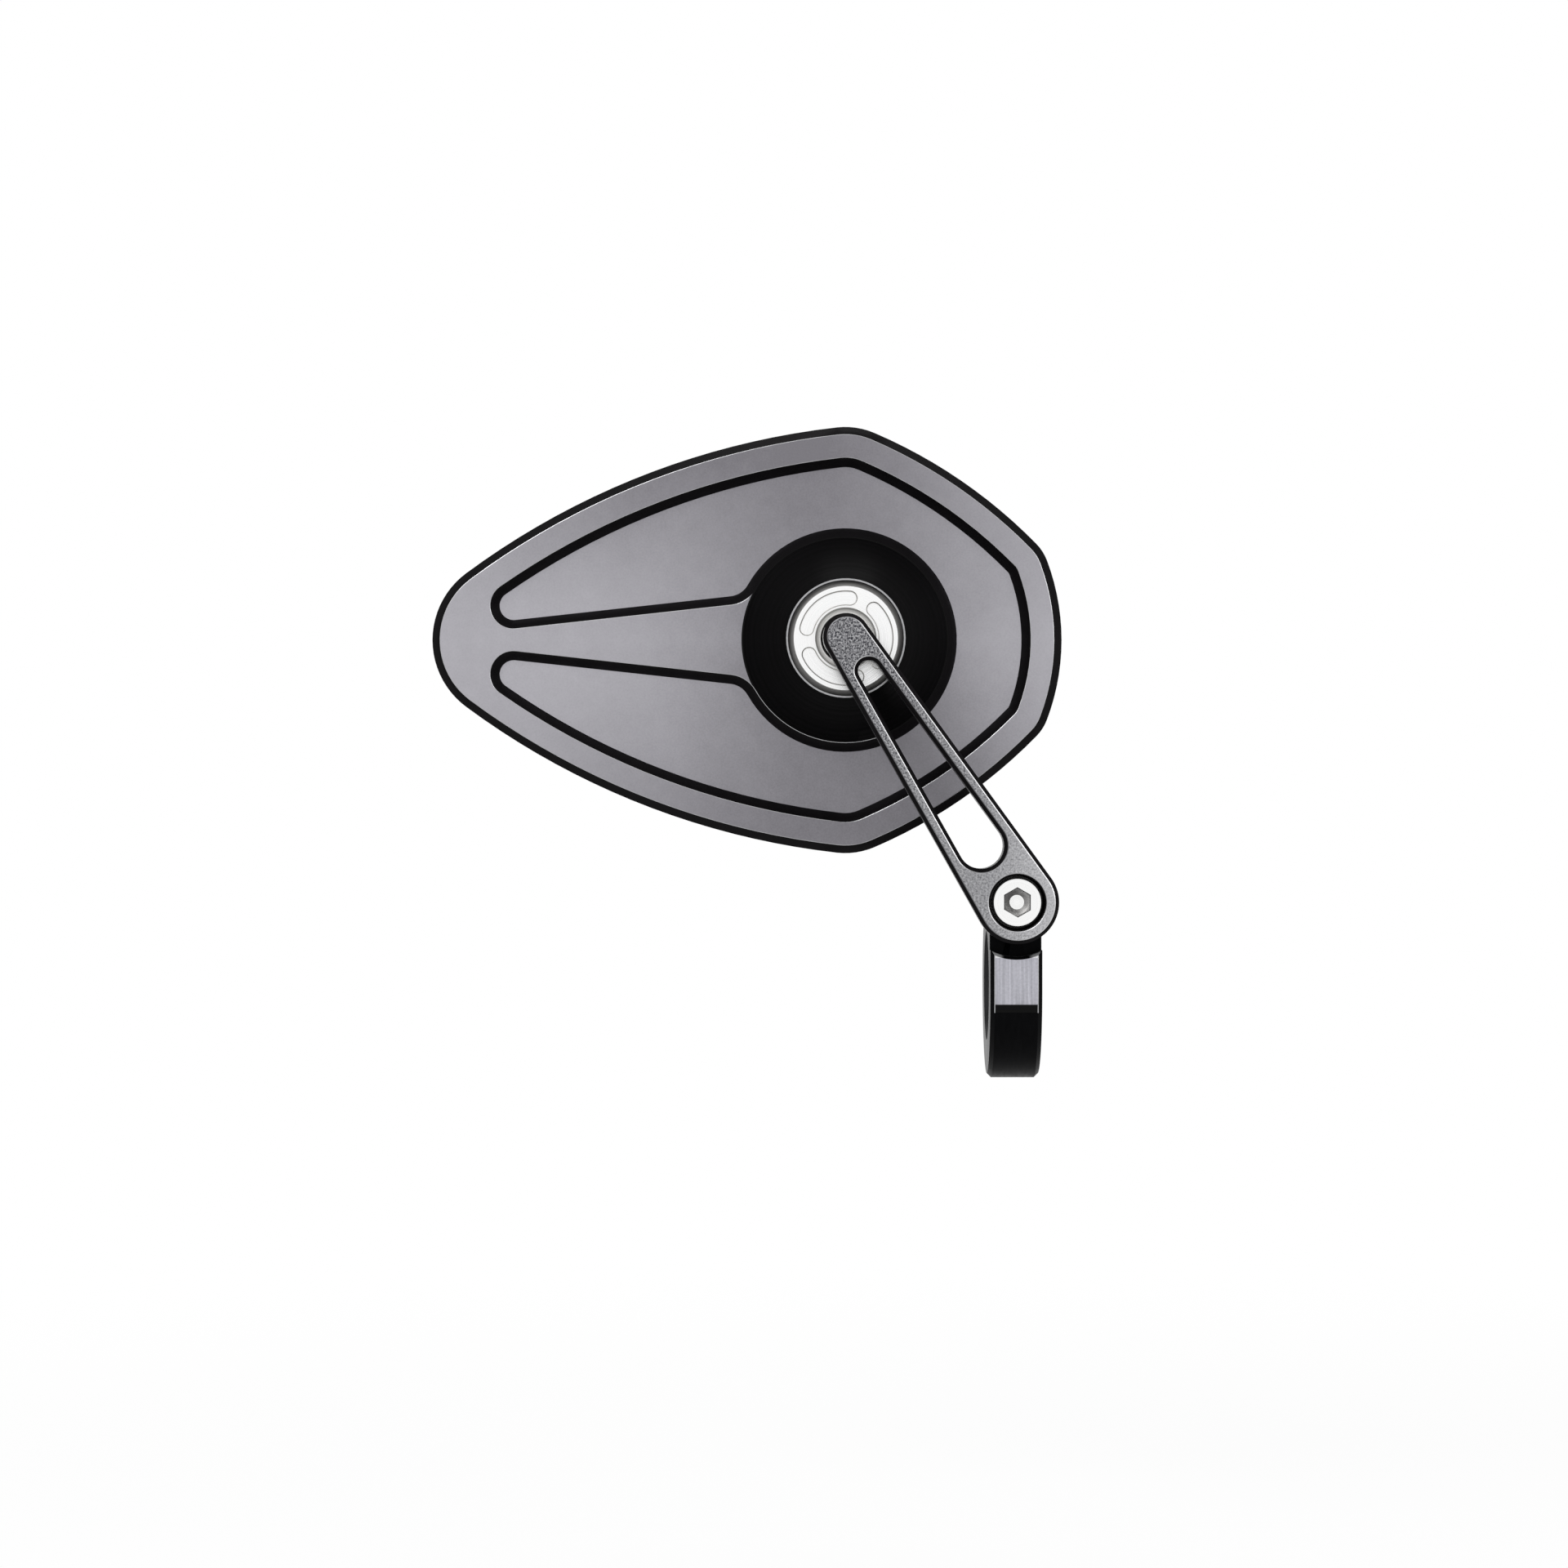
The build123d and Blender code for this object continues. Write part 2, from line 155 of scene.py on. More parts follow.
def shareAlong(tree, coords, direction):
    node = addNode(tree, "ShaderNodeVectorMath", operation="DOT_PRODUCT")
    wire(tree, coords, node.inputs[0])
    node.inputs[1].default_value = direction
    return node.outputs["Value"]


noiseLow, noiseMiddle, noiseHigh = 0.3, 0.5, 0.7  # most of a noise lies between low and high


def noise(tree, coords, scale, detail=2.0, rough=0.5):
    node = addNode(tree, "ShaderNodeTexNoise")
    wire(tree, coords, node.inputs["Vector"])
    node.inputs["Scale"].default_value = scale
    node.inputs["Detail"].default_value = detail
    node.inputs["Roughness"].default_value = rough
    return node.outputs["Fac"]


def fineGrain(tree, coords, look):
    return noise(tree, coords, look["grainScale"], detail=2.0, rough=0.6)


def fromMiddle(tree, value):
    return calc(tree, "SUBTRACT", value, noiseMiddle)


def addBump(tree, shader, height, depth, strength):
    node = addNode(tree, "ShaderNodeBump")
    node.inputs["Strength"].default_value = strength
    node.inputs["Distance"].default_value = depth
    wire(tree, height, node.inputs["Height"])
    wire(tree, node.outputs[0], shader.inputs["Normal"])


# what nearly every finish sets: the tone drives roughness, and relief unless a height is given
def setSurface(tree, shader, look, color, tone, roughness, height=None, smooth=True):
    wire(tree, color, shader.inputs["Base Color"])
    wire(tree, remap(tree, tone, noiseLow, noiseHigh, *roughness, smooth=smooth), shader.inputs["Roughness"])
    shader.inputs["Metallic"].default_value = look.get("metallic", 0.0)
    shader.inputs["Specular IOR Level"].default_value = look.get("specular", 0.5)
    relief = tone if height is None else height
    addBump(tree, shader, relief, look["bumpDepth"], look.get("bumpStrength", 0.5))


# metal with milling lines: streaks along one direction, fine grain over them
def linedMetal(look):
    material, tree, shader = startMaterial(look["name"])
    local = placeCoords(tree)
    streaks = noise(tree, placeCoords(tree, scale=look["streakScale"]), 1.0, detail=3.0)
    grain = fineGrain(tree, local, look)
    tone = calc(tree, "ADD", calc(tree, "MULTIPLY", streaks, 1 - look["grainShare"]),
                calc(tree, "MULTIPLY", grain, look["grainShare"]))
    contrast = look["contrast"]
    spread = remap(tree, tone, noiseMiddle - contrast, noiseMiddle + contrast, smooth=False)
    color = blendColors(tree, spread, rgba(look["dark"]), rgba(look["light"]))
    # painted reflection band: pale above one level and black below another
    if "paleAbove" in look:
        level = splitAxes(tree, local)["Z"]
        above = remap(tree, level, look["paleAbove"], look["paleAbove"] + look["paleBlend"])
        below = remap(tree, level, look["blackBelow"], look["blackBelow"] - look["blackBlend"])
        color = blendColors(tree, above, color, rgba(look["pale"]))
        color = blendColors(tree, below, color, rgba(look["black"]))
    setSurface(tree, shader, look, color, tone, look["roughness"][::-1], smooth=False)
    return material


# grey anodised flats of the head, with painted reflection and shade: paler along the middle and at both ends,
# dusky above and below the boss, a painted shade round the boss, a tone set by the depth of the pocket floor
# and a slight painted tilt across; cloud, mottle and grain are random tone
greyFlat = {
    "name": "greyAnodisedFlat",
    "pale": (0.383, 0.375, 0.403), "dusky": (0.174, 0.168, 0.184), "foot": (0.002, 0.002, 0.002),
    "centre": tuple(ballCentre), "asideFrom": -9.1 * mm, "asideTo": 42.1 * mm, "lean": 0.32,
    "alongShift": 14.5 * mm, "alongHold": 20.2 * mm, "alongReach": 89.4 * mm,
    "bossShadeFrom": 21 * mm, "bossShadeTo": 41.3 * mm, "bossShade": 0.35, "footReach": 21.15 * mm,
    "rimLevel": 4.32 * mm, "floorLevel": 6.22 * mm, "floorLift": -0.13, "shadeTilt": (-0.4, 0.0, 1.9),
    "cloudScale": 60.0, "cloudShare": 0.24, "mottleScale": 420.0, "mottleShare": 0.2,
    "grainScale": 2600, "grainShare": 0.16, "streakScale": (240, 400, 520),
    "metallic": 0.85, "roughness": (0.46, 0.6), "bumpDepth": 6e-6, "bumpStrength": 0.6,
}


def makeGreyFlat(look):
    material, tree, shader = startMaterial(look["name"])
    local = placeCoords(tree, look["centre"])
    axes = splitAxes(tree, local)
    # painted reflection and shade: dusky above and below the boss, paler along the middle and at both ends
    aside = calc(tree, "ABSOLUTE", axes["Z"])
    leaning = calc(tree, "MULTIPLY_ADD", axes["Z"], look["lean"], third=axes["X"])
    along = calc(tree, "ABSOLUTE", calc(tree, "ADD", leaning, look["alongShift"]))
    reflectionDusk = calc(tree, "MULTIPLY", remap(tree, aside, look["asideFrom"], look["asideTo"], smooth=False),
                remap(tree, along, look["alongHold"], look["alongReach"], 1.0, 0.0, smooth=False))
    # painted shade round the boss, fading outwards
    reach = lengthOf(tree, placeCoords(tree, look["centre"], (1, 0, 1)))
    bossShade = remap(tree, reach, look["bossShadeFrom"], look["bossShadeTo"], look["bossShade"], 0.0, smooth=False)
    # cloud, mottle and grain: random tone
    cloud = noise(tree, local, look["cloudScale"], detail=4.0, rough=0.6)
    mottle = noise(tree, local, look["mottleScale"], detail=3.0, rough=0.65)
    streaks = noise(tree, placeCoords(tree, scale=look["streakScale"]), 1.0)
    grain = fineGrain(tree, local, look)
    mottleAndShade = calc(tree, "MULTIPLY", fromMiddle(tree, cloud), look["cloudShare"])
    mottleAndShade = calc(tree, "MULTIPLY_ADD", fromMiddle(tree, mottle), look["mottleShare"], third=mottleAndShade)
    mottleAndShade = calc(tree, "MULTIPLY_ADD", fromMiddle(tree, grain), look["grainShare"], third=mottleAndShade)
    # painted tone by depth, the pocket floor set paler than the rim, and a painted tilt of the shade across
    # the flats
    sunk = remap(tree, axes["Y"], look["rimLevel"], look["floorLevel"], 0.0, look["floorLift"])
    shadeTilt = shareAlong(tree, local, look["shadeTilt"])
    mottleAndShade = calc(tree, "ADD", calc(tree, "ADD", mottleAndShade, sunk), shadeTilt)
    share = calc(tree, "ADD", calc(tree, "ADD", reflectionDusk, bossShade), mottleAndShade, clamp=True)
    grey = blendColors(tree, share, rgba(look["pale"]), rgba(look["dusky"]))
    pastFoot = calc(tree, "GREATER_THAN", reach, look["footReach"])
    color = blendColors(tree, pastFoot, rgba(look["foot"]), grey)
    relief = calc(tree, "ADD", grain, streaks)
    setSurface(tree, shader, look, color, grain, look["roughness"], height=relief, smooth=False)
    return material


# blasted grain of the arm's face, darker and stronger towards the ball, with a painted sheen that makes it
# lighter towards the right
armFace = {
    "name": "armBlastedFace",
    "dark": (0.03, 0.03, 0.037), "light": (0.5, 0.5, 0.515),
    "screw": tuple(screwCentre), "darkEnd": 62 * mm, "paleEnd": 12 * mm, "paleSide": 9 * mm,
    "screwTone": 0.37, "ballTone": 0.58, "leftSheen": 0.1, "rightSheen": -0.26,
    "grainScale": 2500, "grainDetail": 5.0, "grainRough": 0.72, "screwSpecks": 2.5, "ballSpecks": 5.0,
    "metallic": 0.9, "roughness": 0.4, "bumpDepth": 3e-5, "bumpStrength": 0.5,
}


def makeArmFace(look):
    material, tree, shader = startMaterial(look["name"])
    local = placeCoords(tree, look["screw"])
    towardsBall = remap(tree, lengthOf(tree, local), look["paleEnd"], look["darkEnd"])
    # painted sheen: lighter towards the right side of the arm
    sideSheen = remap(tree, splitAxes(tree, local)["X"], -look["paleSide"], look["paleSide"],
                     look["leftSheen"], look["rightSheen"])
    grain = noise(tree, local, look["grainScale"], look["grainDetail"], look["grainRough"])
    depth = remap(tree, towardsBall, 0, 1, look["screwSpecks"], look["ballSpecks"], smooth=False)
    specks = calc(tree, "MULTIPLY", fromMiddle(tree, grain), depth)
    endTone = remap(tree, towardsBall, 0, 1, look["screwTone"], look["ballTone"], smooth=False)
    share = calc(tree, "ADD", calc(tree, "ADD", endTone, sideSheen), specks, clamp=True)
    wire(tree, blendColors(tree, share, rgba(look["light"]), rgba(look["dark"])), shader.inputs["Base Color"])
    shader.inputs["Metallic"].default_value = look["metallic"]
    shader.inputs["Roughness"].default_value = look["roughness"]
    addBump(tree, shader, grain, look["bumpDepth"], look["bumpStrength"])
    return material


# metal with painted light: darker on one side of a middle point and lit on the other, with fine grain
def sidedLitMetal(look):
    material, tree, shader = startMaterial(look["name"])
    local = placeCoords(tree, look["centre"], (1, 0, 1))
    direction = addNode(tree, "ShaderNodeVectorMath", operation="NORMALIZE")
    wire(tree, local, direction.inputs[0])
    facing = shareAlong(tree, direction.outputs[0], look["towards"])
    grain = fineGrain(tree, local, look)
    patchy = calc(tree, "MULTIPLY_ADD", fromMiddle(tree, grain), look["patches"], third=facing)
    share = remap(tree, patchy, look["from"], look["to"])
    color = blendColors(tree, share, rgba(look["dark"]), rgba(look["bare"]))
    setSurface(tree, shader, look, color, grain, look["roughness"])
    return material


# edge line with a painted highlight: light where its own slope looks one way and painted dark where it looks
# the other
def facingHighlightMetal(look):
    material, tree, shader = startMaterial(look["name"])
    coords = addNode(tree, "ShaderNodeTexCoord")
    facing = shareAlong(tree, coords.outputs["Normal"], look["towards"])
    grain = fineGrain(tree, placeCoords(tree), look)
    share = remap(tree, facing, look["from"], look["to"])
    color = blendColors(tree, share, rgba(look["dark"]), rgba(look["bare"]))
    setSurface(tree, shader, look, color, grain, look["roughness"])
    return material


# lip of the clamp's recess, a painted reflection: light at both ends and black in the middle, where the arm
# is above it
recessLipReflection = {
    "name": "clampRecessLipPaintedReflection", "litFrom": 2.4 * mm, "litTo": 3.4 * mm,
    "dark": (0.004, 0.004, 0.004), "bare": (0.6, 0.6, 0.61), "grainScale": 1500,
    "metallic": 0.6, "specular": 0.1, "roughness": (0.3, 0.42), "bumpDepth": 3e-6, "bumpStrength": 0.4,
}


def makeRecessLipReflection(look):
    material, tree, shader = startMaterial(look["name"])
    local = placeCoords(tree)
    grain = fineGrain(tree, local, look)
    aside = calc(tree, "ABSOLUTE", splitAxes(tree, local)["X"])
    # painted reflection: light far to either side, black in the middle
    share = remap(tree, aside, look["litFrom"], look["litTo"])
    color = blendColors(tree, share, rgba(look["dark"]), rgba(look["bare"]))
    setSurface(tree, shader, look, color, grain, look["roughness"])
    return material


# rings turned on a lathe, round the ball's axis or the screw's axis; a rim may be painted darker, as painted
# shade
def turnedMetal(look):
    material, tree, shader = startMaterial(look["name"])
    reach = lengthOf(tree, placeCoords(tree, look["centre"], (1, 0, 1)))
    grooves = addNode(tree, "ShaderNodeTexNoise", noise_dimensions="1D")
    wire(tree, reach, grooves.inputs["W"])
    grooves.inputs["Scale"].default_value = look["grooveScale"]
    grooves.inputs["Detail"].default_value = 3.0
    lines = grooves.outputs["Fac"]
    spread = remap(tree, lines, noiseLow, noiseHigh)
    color = blendColors(tree, spread, rgba(look["dark"]), rgba(look["light"]))
    # painted shade: the rim darker
    if "rim" in look:
        rimShade = remap(tree, reach, look["rimFrom"], look["rimTo"], smooth=False)
        color = blendColors(tree, rimShade, color, rgba(look["rim"]))
    setSurface(tree, shader, look, color, lines, look["roughness"][::-1])
    return material


# moulded and foamed plastics
plasticDepth = 0.5 * mm  # how far light goes into one


def plainPlastic(look):
    material, tree, shader = startMaterial(look["name"])
    grain = noise(tree, placeCoords(tree), look["grainScale"], detail=3.0, rough=0.6)
    color = blendColors(tree, grain, rgba(look["dark"]), rgba(look["light"]))
    setSurface(tree, shader, look, color, grain, look["roughness"])
    shader.inputs["Subsurface Weight"].default_value = look.get("subsurface", 0.0)
    shader.inputs["Subsurface Scale"].default_value = plasticDepth
    return material


# silvered glass: a clean mirror with a faint film and waviness
mirrorFace = {
    "name": "mirrorSilvering", "tint": (0.6, 0.625, 0.64), "coatRoughness": 0.01,
    "filmScale": 45.0, "filmSpan": (0.35, 0.75), "filmTint": 0.97,
    "hazeSpan": (0.4, 0.8), "haze": (0.012, 0.03),
    "waveScale": 22.0, "wave": 0.8e-6, "waveStrength": 0.4,
}


def makeMirrorFace(look):
    material, tree, shader = startMaterial(look["name"])
    local = placeCoords(tree)
    film = noise(tree, local, look["filmScale"], detail=3.0, rough=0.6)
    filmed = [look["filmTint"] * part for part in look["tint"]]
    color = blendColors(tree, remap(tree, film, *look["filmSpan"]), rgba(look["tint"]), rgba(filmed))
    wire(tree, color, shader.inputs["Base Color"])
    wire(tree, remap(tree, film, *look["hazeSpan"], *look["haze"]), shader.inputs["Roughness"])
    shader.inputs["Metallic"].default_value = 1.0
    shader.inputs["Coat Weight"].default_value = 1.0
    shader.inputs["Coat Roughness"].default_value = look["coatRoughness"]
    waves = noise(tree, local, look["waveScale"], detail=0.0)
    addBump(tree, shader, waves, look["wave"], look["waveStrength"])
    return material


# black walls that are seen from the sides and the back
wallLook = {
    "dark": (0.008, 0.008, 0.009), "light": (0.02, 0.02, 0.021), "grainScale": 2600, "grainShare": 0.4,
    "contrast": 0.3, "metallic": 0.0, "specular": 0.32, "roughness": (0.34, 0.46),
    "bumpDepth": 8e-6, "bumpStrength": 0.4,
}

finish = {
    "greyFlat": makeGreyFlat(greyFlat),
    "armFace": makeArmFace(armFace),
    "blackBevel": linedMetal({
        "name": "blackAnodisedBevel", "dark": (0.002, 0.002, 0.002), "light": (0.006, 0.005, 0.006),
        "streakScale": (300, 300, 300), "grainScale": 3000, "grainShare": 0.5, "contrast": 0.3,
        "metallic": 0.0, "specular": 0.04, "roughness": (0.34, 0.46),
        "bumpDepth": 6e-6, "bumpStrength": 0.3}),
    "blackWall": linedMetal({**wallLook, "name": "blackAnodisedWall", "streakScale": (60, 1500, 60)}),
    "blackTurned": turnedMetal({
        "name": "blackAnodisedTurned", "centre": tuple(ballCentre), "dark": (0.0007, 0.0007, 0.0007),
        "light": (0.002, 0.0017, 0.002), "grooveScale": 1800, "metallic": 0.0, "specular": 0.035,
        "roughness": (0.32, 0.4), "bumpDepth": 2e-6}),
    "bareEdge": linedMetal({
        "name": "bareAluminiumEdge", "dark": (0.3, 0.3, 0.31), "light": (0.46, 0.46, 0.47),
        "streakScale": (700, 700, 700), "grainScale": 2600, "grainShare": 0.5, "contrast": 0.25,
        "metallic": 0.9, "roughness": (0.25, 0.4), "bumpDepth": 4e-6, "bumpStrength": 0.3}),
    # painted highlight along the arm's edges, light where they face right
    "armEdge": facingHighlightMetal({
        "name": "armEdgePaintedHighlight", "towards": (0.96, 0.0, -0.28), "from": -0.35, "to": 0.45,
        "dark": (0.12, 0.12, 0.125), "bare": (0.55, 0.55, 0.56), "grainScale": 2600,
        "metallic": 0.85, "roughness": (0.28, 0.42), "bumpDepth": 3e-6, "bumpStrength": 0.4}),
    # painted reflection of a softbox: a pale band on the clamp's front flat, paler at its top edge and black
    # below its lower end
    "clampReflectionBand": linedMetal({
        "name": "clampPaintedReflectionBand", "dark": (0.3, 0.3, 0.33), "light": (0.54, 0.535, 0.59),
        "streakScale": (1900, 900, 60), "grainScale": 2200, "grainShare": 0.3, "contrast": 0.2,
        "metallic": 0.85, "roughness": (0.34, 0.46), "bumpDepth": 8e-6, "bumpStrength": 0.4,
        "paleAbove": 6.25 * mm, "paleBlend": 0.2 * mm, "pale": (0.74, 0.74, 0.75),
        "blackBelow": -2.85 * mm, "blackBlend": 0.3 * mm, "black": (0.002, 0.002, 0.002)}),
    "recessLipReflection": makeRecessLipReflection(recessLipReflection),
    "clampBlack": linedMetal({
        "name": "clampBlackAnodised", "dark": (0.0008, 0.0008, 0.001), "light": (0.003, 0.003, 0.0035),
        "streakScale": (1500, 300, 300), "grainScale": 3000, "grainShare": 0.3, "contrast": 0.3,
        "metallic": 0.0, "specular": 0.025, "roughness": (0.3, 0.42),
        "bumpDepth": 6e-6, "bumpStrength": 0.3}),
    "clampWall": linedMetal({**wallLook, "name": "clampBlackWall", "streakScale": (1500, 60, 60)}),
    "ringBright": turnedMetal({
        "name": "ringBrightTurned", "centre": tuple(ballCentre), "dark": (0.9, 0.9, 0.9),
        "light": (0.96, 0.96, 0.96), "grooveScale": 5200, "metallic": 1.0,
        "roughness": (0.22, 0.3), "bumpDepth": 2e-6}),
    "ringBevel": turnedMetal({
        "name": "ringTurnedBevel", "centre": tuple(ballCentre), "dark": (0.2, 0.2, 0.2),
        "light": (0.36, 0.35, 0.34), "grooveScale": 4200, "metallic": 0.3, "specular": 0.2,
        "roughness": (0.38, 0.5), "bumpDepth": 4e-6}),
    "kidneyLine": turnedMetal({
        "name": "kidneyRimLine", "centre": tuple(ballCentre), "dark": (0.3, 0.29, 0.275),
        "light": (0.44, 0.43, 0.41), "grooveScale": 5200, "metallic": 0.3, "specular": 0.2,
        "roughness": (0.4, 0.5), "bumpDepth": 2e-6}),
    "throatBevel": turnedMetal({
        "name": "throatTurnedBevel", "centre": tuple(ballCentre), "dark": (0.94, 0.93, 0.91),
        "light": (0.98, 0.97, 0.95), "grooveScale": 3200, "metallic": 0.3, "specular": 0.4,
        # painted shade on the cove's steep outer wall
        "rim": (0.47, 0.465, 0.45), "rimFrom": 5.35 * mm, "rimTo": 6.0 * mm,
        "roughness": (0.3, 0.4), "bumpDepth": 4e-6}),
    # painted shade: the inside of the throat drawn near black
    "throatShade": turnedMetal({
        "name": "throatPaintedShade", "centre": tuple(ballCentre), "dark": (0.012, 0.012, 0.012),
        "light": (0.03, 0.03, 0.03), "grooveScale": 3200, "metallic": 0.3, "specular": 0.1,
        "roughness": (0.35, 0.45), "bumpDepth": 4e-6}),
    "steelBright": turnedMetal({
        "name": "stainlessBright", "centre": tuple(screwCentre), "dark": (0.88, 0.88, 0.875),
        "light": (0.95, 0.95, 0.945), "grooveScale": 3200, "metallic": 1.0,
        "roughness": (0.2, 0.32), "bumpDepth": 3e-6}),
    # painted light on the socket: lighter towards the right, darker towards the left
    "steelSocket": sidedLitMetal({
        "name": "stainlessSocketSidedLight", "centre": tuple(screwCentre),
        "towards": (0.85, 0.0, -0.3), "from": -0.7, "to": 0.8,
        "dark": (0.15, 0.148, 0.145), "bare": (0.42, 0.415, 0.41), "grainScale": 1300, "patches": 2.2,
        "metallic": 0.35, "specular": 0.3, "roughness": (0.32, 0.45),
        "bumpDepth": 8e-6, "bumpStrength": 0.4}),
    # painted shade: the screw head's sides and the socket's rim drawn near black
    "steelDeepShade": turnedMetal({
        "name": "stainlessDeepShade", "centre": tuple(screwCentre), "dark": (0.03, 0.03, 0.03),
        "light": (0.07, 0.07, 0.07), "grooveScale": 1800, "metallic": 0.5, "specular": 0.2,
        "roughness": (0.35, 0.5), "bumpDepth": 4e-6}),
    "steelShade": turnedMetal({
        "name": "stainlessShade", "centre": tuple(screwCentre), "dark": (0.1, 0.1, 0.1),
        "light": (0.17, 0.17, 0.17), "grooveScale": 2400, "metallic": 0.6, "specular": 0.2,
        "roughness": (0.35, 0.5), "bumpDepth": 3e-6}),
    "steelShank": turnedMetal({
        "name": "stainlessShank", "centre": tuple(screwCentre), "dark": (0.3, 0.3, 0.295),
        "light": (0.44, 0.44, 0.43), "grooveScale": 2600, "metallic": 1.0,
        "roughness": (0.26, 0.38), "bumpDepth": 4e-6}),
    "steelBall": turnedMetal({
        "name": "stainlessBall", "centre": tuple(ballCentre), "dark": (0.38, 0.38, 0.375),
        "light": (0.54, 0.54, 0.53), "grooveScale": 2400, "metallic": 1.0,
        "roughness": (0.1, 0.2), "bumpDepth": 2e-6}),
    # painted highlight: the collar drawn near white
    "steelCollarHighlight": turnedMetal({
        "name": "stainlessCollarPaintedHighlight", "centre": tuple(ballCentre), "dark": (0.8, 0.8, 0.79),
        "light": (0.92, 0.92, 0.91), "grooveScale": 2400, "metallic": 0.2, "specular": 0.3,
        "roughness": (0.3, 0.4), "bumpDepth": 2e-6}),
    "springSteel": turnedMetal({
        "name": "springSteelOiled", "centre": tuple(ballCentre), "dark": (0.3, 0.3, 0.32),
        "light": (0.48, 0.48, 0.5), "grooveScale": 2000, "metallic": 1.0,
        "roughness": (0.25, 0.4), "bumpDepth": 4e-6}),
    "acetal": plainPlastic({
        "name": "acetalWhite", "dark": (0.78, 0.78, 0.75), "light": (0.86, 0.86, 0.83), "grainScale": 900,
        "roughness": (0.32, 0.45), "subsurface": 0.15, "bumpDepth": 4e-6}),
    # painted shade: black acetal for the seat that sits in the throat's shade
    "acetalPaintedShade": plainPlastic({
        "name": "acetalPaintedShade", "dark": (0.008, 0.008, 0.008), "light": (0.018, 0.018, 0.018),
        "grainScale": 900, "roughness": (0.35, 0.5), "bumpDepth": 4e-6}),
    "nylon": plainPlastic({
        "name": "nylonBlack", "dark": (0.012, 0.012, 0.012), "light": (0.03, 0.03, 0.03), "grainScale": 1500,
        "roughness": (0.45, 0.6), "bumpDepth": 8e-6}),
    "foam": plainPlastic({
        "name": "padFoam", "dark": (0.015, 0.015, 0.015), "light": (0.05, 0.05, 0.05), "grainScale": 2500,
        "roughness": (0.7, 0.9), "bumpDepth": 6e-5}),
    "mirrorFace": makeMirrorFace(mirrorFace),
    "glassEdge": plainPlastic({
        "name": "glassGroundEdge", "dark": (0.12, 0.17, 0.16), "light": (0.2, 0.26, 0.25), "grainScale": 1200,
        "roughness": (0.12, 0.25), "bumpDepth": 3e-6}),
}
print("finishes made:", len(finish))

weldGap = 0.0001 * mm  # corners nearer than this are one


# a copy of a CAD node with clean flats, for fine edges and a finish for each kind of face
def copyShape(nodeName, flatAngle=0.25):
    shape = bmesh.new()
    shape.from_mesh(cadNodes[nodeName].data)
    bmesh.ops.remove_doubles(shape, verts=shape.verts, dist=weldGap)
    if flatAngle:
        bmesh.ops.dissolve_limit(shape, angle_limit=math.radians(flatAngle),
                                 verts=shape.verts, edges=shape.edges)
    shape.normal_update()
    return shape


def breakEdges(shape, chosen, width, finishIndex):
    bmesh.ops.bevel(shape, geom=chosen, offset=width, offset_type="OFFSET", segments=1, profile=0.5,
                    affect="EDGES", clamp_overlap=True, loop_slide=True, material=finishIndex)
    shape.normal_update()


# quads between rows of points that run round an axis
def fillRows(shape, rows, finishIndex):
    for lower, upper in zip(rows, rows[1:]):
        for k in range(len(lower)):
            shape.faces.new((lower[k - 1], lower[k], upper[k], upper[k - 1])).material_index = finishIndex


def isConvex(edge, least=0.25):
    return len(edge.link_faces) == 2 and edge.calc_face_angle_signed(0.0) > least


def frontOf(shape):
    return min(vert.co.y for vert in shape.verts)


def faceLevel(face):
    return face.calc_center_median().y


def onLevel(edge, level, slack=0.05 * mm):
    return all(abs(vert.co.y - level) < slack for vert in edge.verts)


def ballReach(place):
    return math.hypot(place.x - ballCentre.x, place.z - ballCentre.z)


def farBallReach(item):
    return max(ballReach(vert.co) for vert in item.verts)


def farScrewReach(item):
    return max((vert.co - screwCentre).xz.length for vert in item.verts)


def angleRound(centre, vert):
    return math.atan2(vert.co.z - centre.z, vert.co.x - centre.x)


def dress(nodeName, pieceName, shape, finishNames, sharpAngle=17.0):
    mesh = bpy.data.meshes.new(pieceName)
    for face in shape.faces:
        face.smooth = True
    shape.to_mesh(mesh)
    shape.free()
    mesh.set_sharp_from_angle(angle=math.radians(sharpAngle))
    for name in finishNames:
        mesh.materials.append(finish[name])
    piece = bpy.data.objects.new(pieceName, mesh)
    bpy.context.scene.collection.objects.link(piece)
    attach(piece, cadNodes[nodeName]["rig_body"])
    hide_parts(nodeName)
    print("dressed", pieceName, len(mesh.polygons), "faces")
    return piece


# head: grey flats, black bevels and walls, turned cone, bare lines where the flats end; round the cone's foot
# the line is kept only on the lower left, a painted highlight
headValues = {
    "edge": 0.06 * mm, "flatLimit": 0.985, "wallLimit": -0.3, "levelSlack": 0.3 * mm, "coneReach": 21.5 * mm,
    "litSide": Vector((-0.64, 0.0, -0.77)), "litLimit": 0.55,
}


